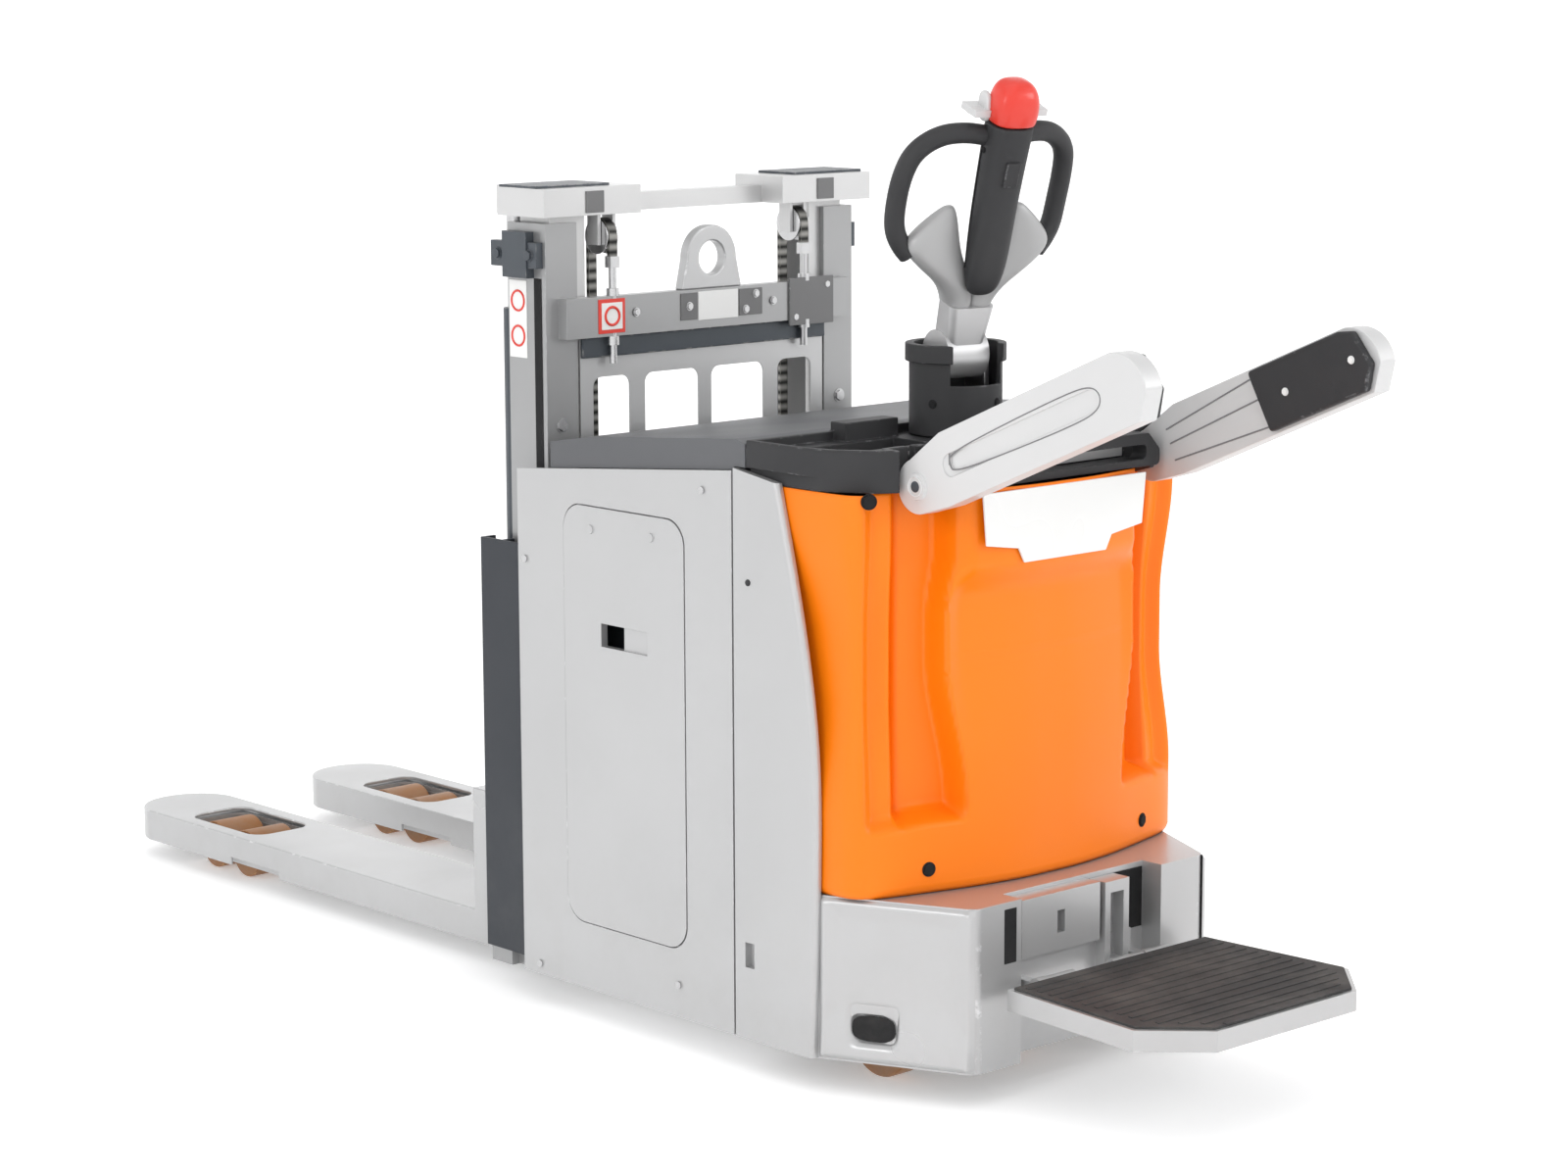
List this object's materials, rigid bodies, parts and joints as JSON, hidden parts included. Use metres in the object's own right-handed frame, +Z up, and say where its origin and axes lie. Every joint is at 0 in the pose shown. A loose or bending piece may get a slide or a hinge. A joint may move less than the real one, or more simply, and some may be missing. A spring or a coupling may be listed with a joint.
{
  "type": "rider pallet stacker",
  "caption": "Electric rider pallet stacker with initial lift: tiller, fold-down platform, folding guard arms, battery box, lifting mast and forks over support arms.",
  "frame": {"origin": "middle of the machine's footprint on the floor", "axes": "+Y towards the fork tips, -Y towards the operator, +X to the right seen from the operator looking at the forks, +Z up"},
  "size_m": [0.727, 2.5719, 1.4545],
  "materials": {
    "grey_paint": "satin light grey paint",
    "orange_plastic": "moulded, fine grain",
    "badge_white": "smooth blank plate",
    "dark_plastic": "moulded, fine grain",
    "hood_plastic": "dark blue-grey, fine grain",
    "light_plastic": "moulded, fine grain",
    "red_plastic": "smooth",
    "black_rubber": "ribbed",
    "dark_paint": "satin",
    "steel": "bright steel",
    "cast_alloy": "satin",
    "oiled_chain": "oiled",
    "polyurethane": "smooth tread",
    "battery_case": "smooth"
  },
  "bodies": {
    "drive_frame": {"drive_chassis": "grey_paint", "fender_left": "grey_paint", "fender_right": "grey_paint", "drive_cover": "orange_plastic", "badge_plate": "badge_white", "cover_screws": "orange_plastic", "console_tray": "dark_plastic", "grab_handle": "dark_plastic", "platform_mount": "grey_paint", "arm_brackets": "dark_paint", "hydraulic_unit": "dark_paint", "motor_controller": "dark_paint"},
    "tiller_head": {"steering_hood": "dark_plastic", "steering_column": "steel"},
    "tiller": {"tiller_arm": "cast_alloy", "tiller_wings": "light_plastic", "tiller_spine": "dark_plastic", "tiller_grips": "dark_plastic"},
    "belly_button": {"belly_button": "red_plastic"},
    "travel_switch": {"travel_switch": "light_plastic"},
    "lift_switch": {"lift_switch": "dark_plastic"},
    "drive_unit": {"drive_unit": "dark_paint"},
    "drive_wheel": {"drive_wheel": "polyurethane"},
    "castor_left": {"castor_fork_left": "dark_paint"},
    "castor_right": {"castor_fork_right": "dark_paint"},
    "castor_wheel_left": {"castor_wheel_left": "polyurethane"},
    "castor_wheel_right": {"castor_wheel_right": "polyurethane"},
    "guard_arm_left": {"guard_arm_left": "light_plastic", "arm_pad_left": "dark_plastic"},
    "guard_arm_right": {"guard_arm_right": "light_plastic", "arm_pad_right": "dark_plastic"},
    "platform": {"platform_tread": "grey_paint", "platform_mat": "black_rubber"},
    "load_frame": {"battery_box": "grey_paint", "battery": "battery_case", "panel_screws": "grey_paint", "outer_mast": "grey_paint", "lifting_eye": "grey_paint", "mast_guard": "dark_paint", "mast_apron": "dark_paint", "lift_cylinders": "dark_paint", "chain_anchors": "steel", "support_arms": "grey_paint"},
    "battery_hood": {"battery_hood": "hood_plastic"},
    "side_door_left": {"side_door_left": "grey_paint"},
    "side_door_right": {"side_door_right": "grey_paint"},
    "wheel_levers": {"wheel_levers": "dark_paint"},
    "bogie_left": {"bogie_left": "dark_paint"},
    "bogie_right": {"bogie_right": "dark_paint"},
    "inner_mast": {"inner_mast": "dark_paint", "piston_rods": "steel", "lift_chains": "oiled_chain"},
    "chain_sheaves": {"chain_sheaves": "steel"},
    "fork_carriage": {"fork_carriage": "dark_paint", "fork_left": "grey_paint", "fork_right": "grey_paint"},
    "roller_front_left": {"roller_front_left": "polyurethane"},
    "roller_front_right": {"roller_front_right": "polyurethane"},
    "roller_rear_left": {"roller_rear_left": "polyurethane"},
    "roller_rear_right": {"roller_rear_right": "polyurethane"}
  },
  "joints": [
    {"name": "initial_lift", "type": "slide", "parent": "drive_frame", "child": "load_frame", "axis": [0, 0, 1], "range_m": [0, 0.125]},
    {"name": "mast_lift", "type": "slide", "parent": "load_frame", "child": "inner_mast", "axis": [0, 0, 1], "range_m": [0, 0.78], "deforming": ["lift_chains"]},
    {"name": "carriage_lift", "type": "slide", "parent": "inner_mast", "child": "fork_carriage", "axis": [0, 0, 1], "range_m": [0, 0.7801]},
    {"name": "sheave_turn", "type": "hinge", "parent": "inner_mast", "child": "chain_sheaves", "pos_m": [0, -0.037, 1.21], "axis": [1, 0, 0], "range_deg": [0, 1734]},
    {"name": "hood_open", "type": "hinge", "parent": "load_frame", "child": "battery_hood", "pos_m": [0, -0.082, 0.87499], "axis": [-1, 0, 0], "range_deg": [0, 60]},
    {"name": "door_left_release", "type": "slide", "parent": "load_frame", "child": "side_door_left", "axis": [-1, 0, 0], "range_m": [0, 0.06]},
    {"name": "door_right_release", "type": "slide", "parent": "load_frame", "child": "side_door_right", "axis": [1, 0, 0], "range_m": [0, 0.06]},
    {"name": "lever_swing", "type": "hinge", "parent": "load_frame", "child": "wheel_levers", "pos_m": [0, 0.8126, 0.058], "axis": [-1, 0, 0], "range_deg": [0, 40.23]},
    {"name": "steer", "type": "hinge", "parent": "drive_frame", "child": "drive_unit", "pos_m": [0, -0.67, 0.115], "axis": [0, 0, 1], "range_deg": [-70, 110]},
    {"name": "drive_wheel_spin", "type": "hinge", "parent": "drive_unit", "child": "drive_wheel", "pos_m": [0, -0.67, 0.115], "axis": [0.9781, -0.2079, 0], "continuous": true},
    {"name": "tiller_turn", "type": "hinge", "parent": "drive_frame", "child": "tiller_head", "pos_m": [0, -0.62, 1], "axis": [0, 0, 1], "range_deg": [-70.1, 110.1]},
    {"name": "tiller_tilt", "type": "hinge", "parent": "tiller_head", "child": "tiller", "pos_m": [0, -0.62, 1.055], "axis": [0.9781, -0.2079, 0], "range_deg": [0, 64], "stiffness_Nm_per_rad": 5, "springref_deg": -114.59},
    {"name": "belly_press", "type": "slide", "parent": "tiller", "child": "belly_button", "axis": [0.1954, 0.9192, 0.342], "range_m": [0, 0.006], "stiffness_N_per_m": 1500, "springref_m": -0.003},
    {"name": "travel_twist", "type": "hinge", "parent": "tiller", "child": "travel_switch", "pos_m": [-0.02642, -0.74429, 1.42165], "axis": [0.9781, -0.2079, 0], "range_deg": [-30, 30], "stiffness_Nm_per_rad": 0.6},
    {"name": "lift_slide", "type": "slide", "parent": "tiller", "child": "lift_switch", "axis": [-0.0711, -0.3345, 0.9397], "range_m": [-0.004, 0.004], "stiffness_N_per_m": 600},
    {"name": "platform_fold", "type": "hinge", "parent": "drive_frame", "child": "platform", "pos_m": [0, -0.929, 0.166], "axis": [-1, 0, 0], "range_deg": [0, 80]},
    {"name": "guard_arm_left_fold", "type": "hinge", "parent": "drive_frame", "child": "guard_arm_left", "pos_m": [-0.246, -0.807, 0.898], "axis": [1, 0, 0], "range_deg": [0, 112]},
    {"name": "castor_swivel_left", "type": "hinge", "parent": "drive_frame", "child": "castor_left", "pos_m": [-0.215, -0.73, 0.14], "axis": [0, 0, 1], "continuous": true},
    {"name": "castor_roll_left", "type": "hinge", "parent": "castor_left", "child": "castor_wheel_left", "pos_m": [-0.215, -0.7, 0.0625], "axis": [1, 0, 0], "continuous": true},
    {"name": "bogie_left_level", "type": "hinge", "parent": "wheel_levers", "child": "bogie_left", "pos_m": [-0.19, 1.012, 0.0425], "axis": [1, 0, 0], "range_deg": [0, 40.23]},
    {"name": "roller_rear_left_roll", "type": "hinge", "parent": "bogie_left", "child": "roller_rear_left", "pos_m": [-0.19, 0.962, 0.0425], "axis": [1, 0, 0], "continuous": true},
    {"name": "roller_front_left_roll", "type": "hinge", "parent": "bogie_left", "child": "roller_front_left", "pos_m": [-0.19, 1.062, 0.0425], "axis": [1, 0, 0], "continuous": true},
    {"name": "guard_arm_right_fold", "type": "hinge", "parent": "drive_frame", "child": "guard_arm_right", "pos_m": [0.246, -0.807, 0.898], "axis": [1, 0, 0], "range_deg": [0, 112]},
    {"name": "castor_swivel_right", "type": "hinge", "parent": "drive_frame", "child": "castor_right", "pos_m": [0.215, -0.73, 0.14], "axis": [0, 0, 1], "continuous": true},
    {"name": "castor_roll_right", "type": "hinge", "parent": "castor_right", "child": "castor_wheel_right", "pos_m": [0.215, -0.7, 0.0625], "axis": [1, 0, 0], "continuous": true},
    {"name": "bogie_right_level", "type": "hinge", "parent": "wheel_levers", "child": "bogie_right", "pos_m": [0.19, 1.012, 0.0425], "axis": [1, 0, 0], "range_deg": [0, 40.23]},
    {"name": "roller_rear_right_roll", "type": "hinge", "parent": "bogie_right", "child": "roller_rear_right", "pos_m": [0.19, 0.962, 0.0425], "axis": [1, 0, 0], "continuous": true},
    {"name": "roller_front_right_roll", "type": "hinge", "parent": "bogie_right", "child": "roller_front_right", "pos_m": [0.19, 1.062, 0.0425], "axis": [1, 0, 0], "continuous": true}
  ],
  "couplings": [
    {"joint": "carriage_lift", "follows": "mast_lift", "ratio": 1},
    {"joint": "sheave_turn", "follows": "mast_lift", "rad_per_m": 38.76},
    {"joint": "lever_swing", "follows": "initial_lift", "rad_per_m": 5.6106},
    {"joint": "bogie_left_level", "follows": "initial_lift", "rad_per_m": 5.6106},
    {"joint": "bogie_right_level", "follows": "initial_lift", "rad_per_m": 5.6106},
    {"joint": "tiller_turn", "follows": "steer", "ratio": 1}
  ]
}
